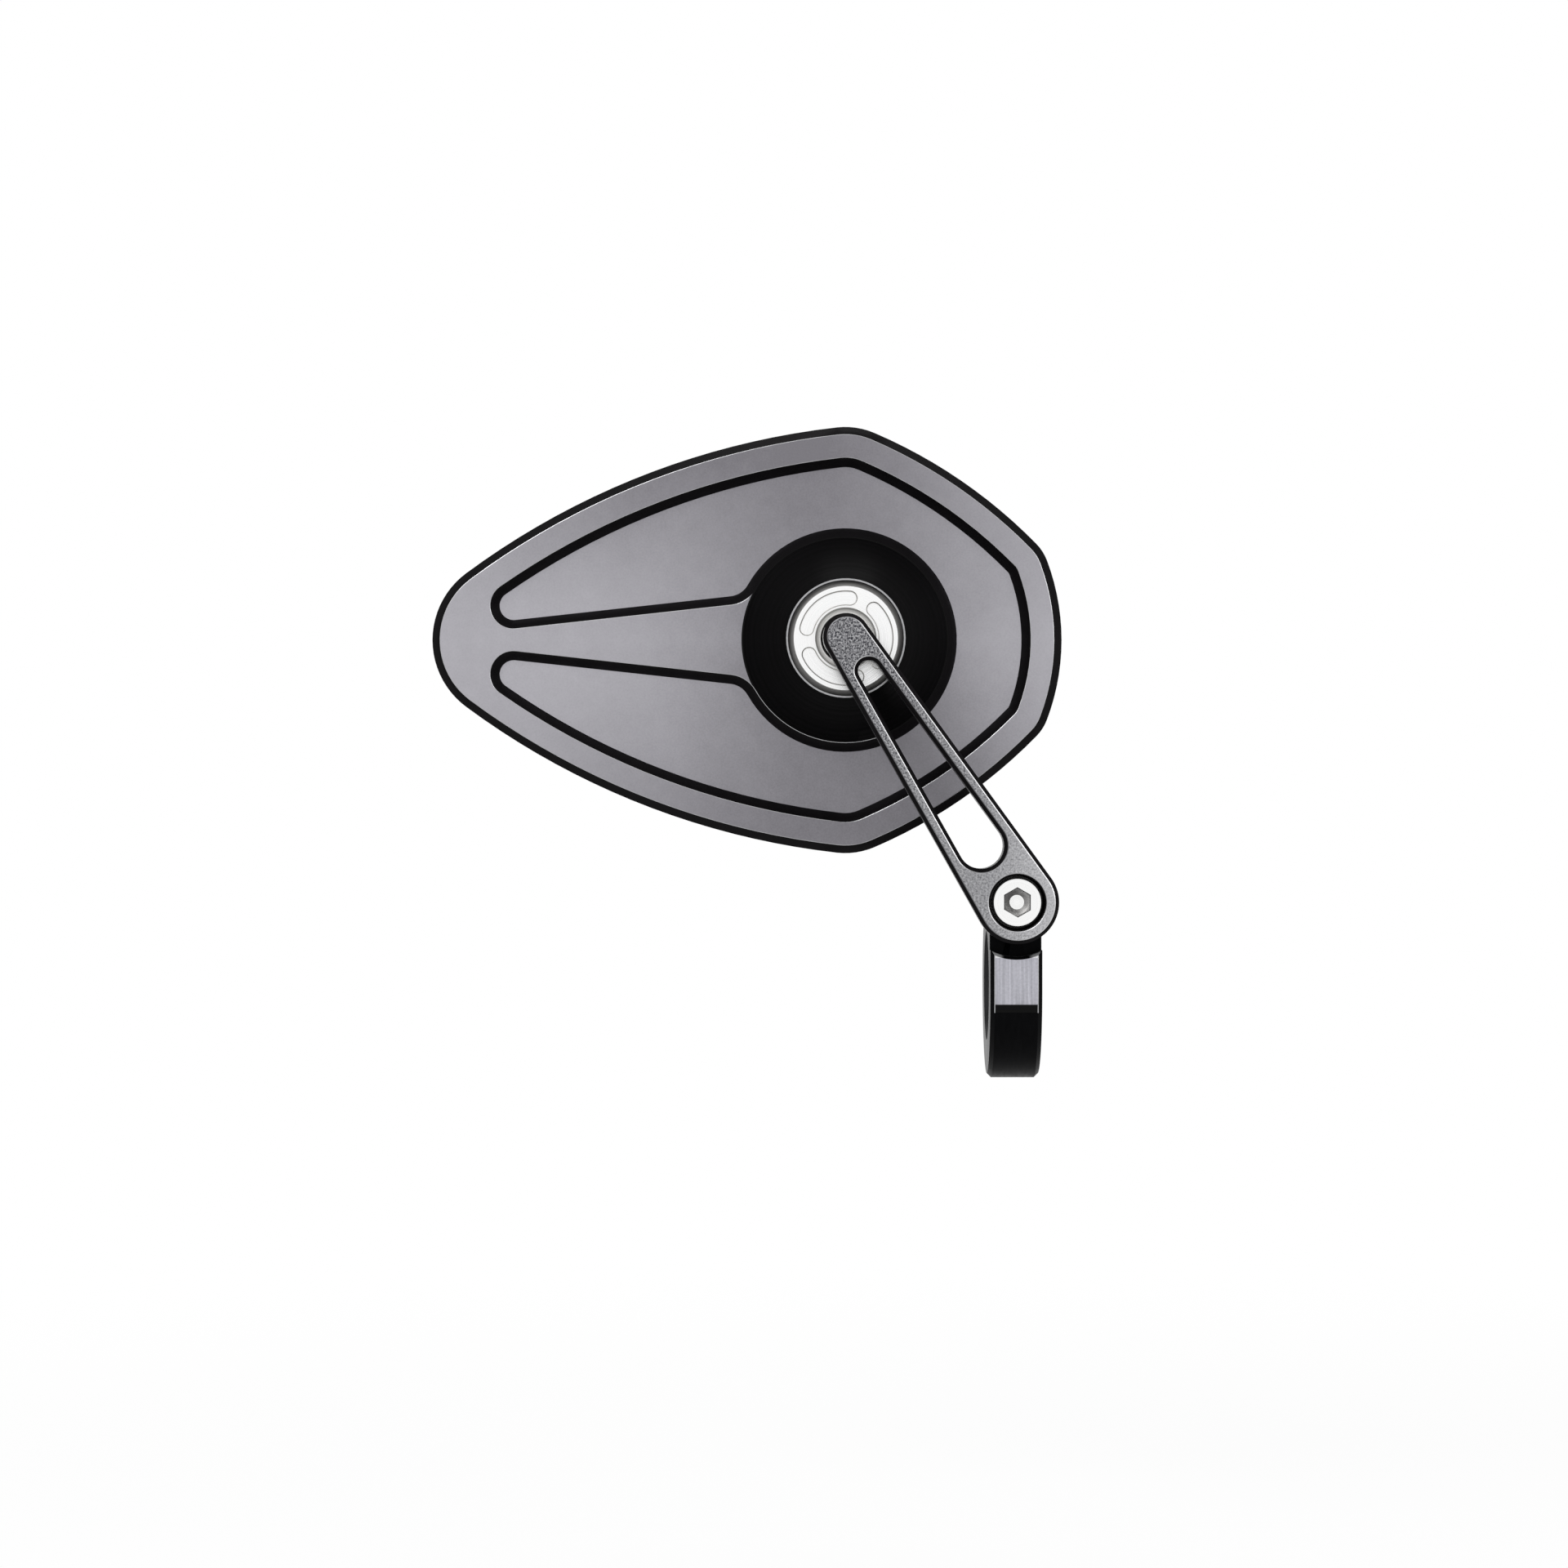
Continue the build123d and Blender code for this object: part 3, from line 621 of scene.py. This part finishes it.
def dressHead(values):
    shape = copyShape("mirror_housing")
    flat, bevel, turned, bare, wall = range(5)
    top = frontOf(shape)
    flats = {face for face in shape.faces if face.normal.y < -values["flatLimit"]}
    rimLevel = min(faceLevel(face) for face in flats if farBallReach(face) > values["coneReach"])
    for face in shape.faces:
        if face in flats and faceLevel(face) < top + values["levelSlack"]:
            face.material_index = bare
        elif farBallReach(face) < values["coneReach"]:
            face.material_index = turned
        elif face in flats:
            face.material_index = flat
        else:
            face.material_index = wall if face.normal.y > values["wallLimit"] else bevel
    rimEdges = []
    for edge in shape.edges:
        finishes = {face.material_index for face in edge.link_faces}
        onRim = isConvex(edge) and onLevel(edge, rimLevel)
        if onRim and bevel in finishes and finishes <= {flat, bevel, turned}:
            # painted highlight: round the cone's foot only edges on the lower left get the bright line
            outward = (edge.verts[0].co + edge.verts[1].co) / 2 - ballCentre
            outward.y = 0
            onLitSide = outward.normalized().dot(values["litSide"]) > values["litLimit"]
            if onLitSide or farBallReach(edge) > values["coneReach"]:
                rimEdges.append(edge)
    breakEdges(shape, rimEdges, values["edge"], bare)
    dress("mirror_housing", "mirrorHead", shape,
          ["greyFlat", "blackBevel", "blackTurned", "bareEdge", "blackWall"])


dressHead(headValues)

# arm: blasted face, black sides, a line along the edges with a painted highlight that fades where they turn
# away from the right
armValues = {
    "edge": 0.1 * mm, "flatLimit": 0.985, "faceDepth": 0.1 * mm, "wallLimit": -0.3,
    "counterboreReach": 6.5 * mm, "counterboreLimit": 0.3,
}


def dressArm(values):
    shape = copyShape("arm")
    blasted, side, line, rim, wall = range(5)
    front = frontOf(shape)
    for face in shape.faces:
        onFace = face.normal.y < -values["flatLimit"] and faceLevel(face) < front + values["faceDepth"]
        nearScrew = farScrewReach(face) < values["counterboreReach"]
        counterbore = nearScrew and face.normal.y < values["counterboreLimit"]
        if onFace:
            face.material_index = blasted
        else:
            face.material_index = side if counterbore or face.normal.y < values["wallLimit"] else wall
    outlines, rims = [], []
    for edge in shape.edges:
        outer = [face for face in edge.link_faces if face.material_index != blasted]
        if isConvex(edge) and onLevel(edge, front) and len(outer) == 1:
            (rims if farScrewReach(edge) < values["counterboreReach"] else outlines).append(edge)
    breakEdges(shape, outlines, values["edge"], line)
    rims = [edge for edge in rims if edge.is_valid]
    breakEdges(shape, rims, values["edge"], rim)
    dress("arm", "armBar", shape, ["armFace", "blackBevel", "armEdge", "bareEdge", "blackWall"])


dressArm(armValues)

# clamp: a pale band on the flat front that is a painted reflection, black elsewhere, and a painted reflection
# on the lip of the arm's recess, light at both ends
clampValues = {
    "edge": 0.1 * mm, "bandLimit": 0.97, "bandDepth": 0.6 * mm, "wallLimit": -0.05, "boreReach": 11.3 * mm,
    "lipSteep": -0.3, "lipFlat": -0.9, "lipAside": 0.6, "lipAbove": 3 * mm, "lipDepth": 0.8 * mm,
}


def dressClamp(values):
    shape = copyShape("clamp_ring")
    reflectionBand, black, lip, edgeLine, wall = range(5)
    front = frontOf(shape)
    for face in shape.faces:
        middle = face.calc_center_median()
        inBore = middle.yz.length < values["boreReach"]
        sloped = values["lipFlat"] < face.normal.y < values["lipSteep"]
        slanted = sloped and abs(face.normal.x) < values["lipAside"]
        if slanted and middle.z > values["lipAbove"] and middle.y < front + values["lipDepth"]:
            face.material_index = lip
        elif face.normal.y < -values["bandLimit"] and middle.y < front + values["bandDepth"]:
            face.material_index = reflectionBand
        else:
            face.material_index = wall if inBore or face.normal.y > values["wallLimit"] else black
    bandEdges = [edge for edge in shape.edges if isConvex(edge)
                 and {face.material_index for face in edge.link_faces} in ({reflectionBand, black}, {reflectionBand, wall})]
    breakEdges(shape, bandEdges, values["edge"], edgeLine)
    dress("clamp_ring", "clampRing", shape, ["clampReflectionBand", "clampBlack", "recessLipReflection", "bareEdge", "clampWall"])


dressClamp(clampValues)

# retaining ring: bright turned face, grey bevels, lines round the kidney recesses, a cove at the throat whose
# outer wall is painted darker and whose inside is painted black, as painted shade
ringValues = {
    "flatLimit": 0.9, "bevelFrom": 10.45 * mm, "kidneyFrom": 6.35 * mm, "throatDepth": 1.15 * mm,
    "coveRows": 8, "coveSlack": 0.005 * mm,
}


def dressRing(values):
    shape = copyShape("retaining_ring")
    bright, bevel, line, throat, shade = range(5)
    front = frontOf(shape)
    for face in shape.faces:
        reach = ballReach(face.calc_center_median())
        if abs(face.normal.y) > values["flatLimit"]:
            face.material_index = bright
        elif reach > values["bevelFrom"]:
            face.material_index = bevel
        elif reach > values["kidneyFrom"]:
            face.material_index = line
        else:
            face.material_index = throat if faceLevel(face) < front + values["throatDepth"] else shade
    sinkCove(shape, values, throat)
    dress("retaining_ring", "retainingRing", shape,
          ["ringBright", "ringBevel", "kidneyLine", "throatBevel", "throatShade"])


# the throat's edge is a fine cove, steep at the ring's face and flat at its inner lip
def sinkCove(shape, values, finishIndex):
    slope = [face for face in shape.faces if face.material_index == finishIndex]
    corners = {vert for face in slope for vert in face.verts}
    inner, outer = (pick(ballReach(vert.co) for vert in corners) for pick in (min, max))
    front, foot = (pick(vert.co.y for vert in corners) for pick in (min, max))
    rim = {vert for vert in corners if ballReach(vert.co) > outer - values["coveSlack"]}
    lip = {vert for vert in corners if ballReach(vert.co) < inner + values["coveSlack"]}
    first = sorted(rim, key=lambda vert: angleRound(ballCentre, vert))
    angles = [angleRound(ballCentre, vert) for vert in first]
    lipEdges = [edge for edge in shape.edges if all(vert in lip for vert in edge.verts)]
    bmesh.ops.delete(shape, geom=slope, context="FACES")
    rows = [first]
    for step in range(1, values["coveRows"]):
        turn = math.pi / 2 * step / values["coveRows"]
        reach, level = inner + (outer - inner) * math.cos(turn), front + (foot - front) * math.sin(turn)
        rows.append([shape.verts.new((ballCentre.x + reach * math.cos(angle), level,
                                      ballCentre.z + reach * math.sin(angle))) for angle in angles])
    fillRows(shape, rows, finishIndex)
    lastEdges = [shape.edges.get((rows[-1][k - 1], rows[-1][k])) for k in range(len(first))]
    for face in bmesh.ops.bridge_loops(shape, edges=lastEdges + lipEdges)["faces"]:
        face.material_index = finishIndex
    bmesh.ops.recalc_face_normals(shape, faces=shape.faces)
    print("cove of", len(rows), "rows with", len(first), "points, lip", len(lipEdges))


dressRing(ringValues)

# clamp screw: bright head with its sides painted dark as painted shade, grey socket lit on one side and
# darker on the other as painted light, with a dark rim and a bright middle, thread where the slit shows it
screwValues = {
    "edge": 0.3 * mm, "flatLimit": 0.9, "topSlack": 0.01 * mm, "headHeight": 4.2 * mm,
    "socketReach": 3.2 * mm, "middleReach": 1.5 * mm, "socketDepth": 2.8 * mm,
    "threadFrom": -1.6 * mm, "threadTo": 1.6 * mm, "threadPitch": 1.0 * mm, "threadDepth": 0.5 * mm,
    "threadRunOut": 0.4 * mm, "threadRows": 48, "threadSlack": 0.001 * mm,
}


def dressScrew(values):
    shape = copyShape("clamp_screw")
    bright, socket, shaded, shank = range(4)
    front = frontOf(shape)
    for face in shape.faces:
        sunk = front + values["topSlack"] < faceLevel(face) < front + values["socketDepth"]
        if faceLevel(face) > front + values["headHeight"]:
            face.material_index = shank
        elif sunk and values["middleReach"] < farScrewReach(face) < values["socketReach"]:
            face.material_index = socket
        else:
            face.material_index = shaded if abs(face.normal.y) < values["flatLimit"] else bright
    socketEdges = [edge for edge in shape.edges if isConvex(edge) and onLevel(edge, front)
                   and any(face.material_index == socket for face in edge.link_faces)]
    breakEdges(shape, socketEdges, values["edge"], shaded)
    cutThread(shape, values, shank)
    dress("clamp_screw", "clampScrew", shape, ["steelBright", "steelSocket", "steelDeepShade", "steelShank"])


# right-hand thread on the stretch of the screw that the slit lays open
def cutThread(shape, values, finishIndex):
    low, high = values["threadFrom"], values["threadTo"]
    for level in (low, high):
        everything = shape.verts[:] + shape.edges[:] + shape.faces[:]
        bmesh.ops.bisect_plane(shape, geom=everything, plane_co=(0, level, 0), plane_no=(0, 1, 0))
    covered = [face for face in shape.faces if low < faceLevel(face) < high]
    bmesh.ops.delete(shape, geom=covered, context="FACES")
    first, last = (sorted((vert for vert in shape.verts if abs(vert.co.y - level) < values["threadSlack"]),
                          key=lambda vert: angleRound(screwCentre, vert)) for level in (low, high))
    rows = [first]
    for step in range(1, values["threadRows"]):
        level = low + (high - low) * step / values["threadRows"]
        fade = min(1.0, (level - low) / values["threadRunOut"], (high - level) / values["threadRunOut"])
        row = []
        for vert in first:
            turn = (level / values["threadPitch"] + angleRound(screwCentre, vert) / math.tau) % 1
            outward = vert.co - screwCentre
            outward.y = 0
            sunk = values["threadDepth"] * fade * (1 - abs(2 * turn - 1))
            place = screwCentre + outward * (1 - sunk / outward.length)
            row.append(shape.verts.new((place.x, level, place.z)))
        rows.append(row)
    rows.append(last)
    fillRows(shape, rows, finishIndex)
    bmesh.ops.recalc_face_normals(shape, faces=shape.faces)
    print("thread rows", len(rows), "of", len(first), "and", len(last), "points")


dressScrew(screwValues)

# ball stud: polished ball and neck, and a collar under the arm painted brighter, a painted highlight
studValues = {"collarFrom": 7.4 * mm}


def dressStud(values):
    shape = copyShape("ball_stud")
    ball, collar = range(2)
    for face in shape.faces:
        face.material_index = collar if faceLevel(face) < ballCentre.y - values["collarFrom"] else ball
    dress("ball_stud", "ballStud", shape, ["steelBall", "steelCollarHighlight"])


dressStud(studValues)

# glass: silvered face, ground edge
glassValues = {"faceLimit": 0.95}


def dressGlass(values):
    shape = copyShape("mirror_glass", flatAngle=None)
    silvered, ground = range(2)
    for face in shape.faces:
        face.material_index = silvered if face.normal.y > values["faceLimit"] else ground
    piece = dress("mirror_glass", "mirrorGlass", shape, ["mirrorFace", "glassEdge"])
    smoothDome(piece.data, silvered)


# the silvered face shades as one true sphere, whatever its triangles
def smoothDome(mesh, domeIndex):
    dome = [polygon for polygon in mesh.polygons if polygon.material_index == domeIndex]
    points = numpy.array([mesh.vertices[vertex].co for polygon in dome for vertex in polygon.vertices])
    equations = numpy.hstack([2 * points, numpy.ones((len(points), 1))])
    fitted = numpy.linalg.lstsq(equations, (points ** 2).sum(axis=1), rcond=None)[0]
    centre = Vector(fitted[:3])
    normals = []
    for polygon in mesh.polygons:
        for vertex in polygon.vertices:
            outward = (mesh.vertices[vertex].co - centre).normalized()
            normals.append(outward if polygon.material_index == domeIndex else polygon.normal)
    mesh.normals_split_custom_set(normals)
    print("dome centre", [round(value, 4) for value in centre])


dressGlass(glassValues)

# what stays as the CAD made it gets its finish here
# painted shade: the outer seat drawn black in the throat and the screw washer dark steel in the counterbore
plainFinish = {
    "outer_seat": "acetalPaintedShade", "inner_seat": "acetal", "thrust_washer": "springSteel",
    "disc_spring_upper": "springSteel", "disc_spring_lower": "springSteel", "screw_washer": "steelShade",
    "thread_insert": "steelShade", "friction_washer": "nylon", "glass_pad": "foam",
}
for nodeName, finishName in plainFinish.items():
    cadNodes[nodeName].data.materials.clear()
    cadNodes[nodeName].data.materials.append(finish[finishName])
print("plain nodes finished:", len(plainFinish))

# floor: pale, and white where it is seen far from the object
floorValues = {"level": -0.115, "size": 60.0, "white": 0.9, "nearGlow": 0.86, "glowFrom": 0.1, "glowTo": 0.55}


def makeFloor(values):
    bpy.ops.mesh.primitive_plane_add(size=values["size"], location=(0, 0, values["level"]))
    floor = bpy.context.object
    floor.name = "floor"
    material = bpy.data.materials.new("paleFloor")
    material.use_nodes = True
    tree = material.node_tree
    tree.nodes.clear()
    matt = addNode(tree, "ShaderNodeBsdfDiffuse")
    matt.inputs["Color"].default_value = rgba((values["white"],) * 3)
    glow = addNode(tree, "ShaderNodeEmission")
    mix = addNode(tree, "ShaderNodeMixShader")
    output = addNode(tree, "ShaderNodeOutputMaterial")
    away = lengthOf(tree, placeCoords(tree))
    share = remap(tree, away, values["glowFrom"], values["glowTo"], values["nearGlow"], 1.0)
    wire(tree, calc(tree, "MULTIPLY", seenRays(tree), share), mix.inputs[0])
    wire(tree, matt.outputs[0], mix.inputs[1])
    wire(tree, glow.outputs[0], mix.inputs[2])
    wire(tree, mix.outputs[0], output.inputs[0])
    floor.data.materials.append(material)


def seenRays(tree):
    path = addNode(tree, "ShaderNodeLightPath")
    seen = calc(tree, "MAXIMUM", path.outputs["Is Camera Ray"], path.outputs["Is Glossy Ray"])
    return calc(tree, "MAXIMUM", seen, path.outputs["Is Transmission Ray"])


makeFloor(floorValues)

# white surroundings and soft lamps
worldValues = {"ambient": 0.55}
world = bpy.data.worlds.new("studio")
bpy.context.scene.world = world
world.use_nodes = True
worldTree = world.node_tree
backdrop = worldTree.nodes["Background"]
backdrop.inputs["Color"].default_value = (1, 1, 1, 1)
wire(worldTree, remap(worldTree, seenRays(worldTree), 0, 1, worldValues["ambient"], 1.0, smooth=False),
     backdrop.inputs["Strength"])

lampValues = {
    "keySoft": {"at": (-0.55, -0.75, 0.7), "size": 0.7, "power": 5.0},
    "fillSoft": {"at": (0.75, -0.6, 0.35), "size": 0.6, "power": 2.2},
    "topSoft": {"at": (0.0, 0.35, 0.95), "size": 0.8, "power": 3.0},
}
aim = (cadLow + cadHigh) / 2
for name, lamp in lampValues.items():
    light = bpy.data.lights.new(name, "AREA")
    light.shape = "DISK"
    light.size = lamp["size"]
    light.energy = lamp["power"]
    holder = bpy.data.objects.new(name, light)
    holder.location = lamp["at"]
    holder.rotation_euler = (aim - holder.location).to_track_quat("-Z", "Y").to_euler()
    bpy.context.scene.collection.objects.link(holder)
print("stage lit by", len(lampValues), "lamps")

# camera square on to the back of the mirror, as the photograph was taken
cameraValues = {
    "at": (-46.5 * mm, -920 * mm, 41.1 * mm), "sensor": 36.0,
    "frameWidth": 313 * mm, "frameDepth": 900 * mm, "clip": (0.05, 50.0),
}
camera = bpy.data.cameras.new("photoCamera")
camera.sensor_width = cameraValues["sensor"]
camera.lens = cameraValues["sensor"] * cameraValues["frameDepth"] / cameraValues["frameWidth"]
camera.clip_start, camera.clip_end = cameraValues["clip"]
cameraHolder = bpy.data.objects.new("photoCamera", camera)
cameraHolder.location = cameraValues["at"]
cameraHolder.rotation_euler = (math.pi / 2, 0, 0)
bpy.context.scene.collection.objects.link(cameraHolder)
bpy.context.scene.camera = cameraHolder
bpy.context.scene.view_settings.view_transform = "Standard"
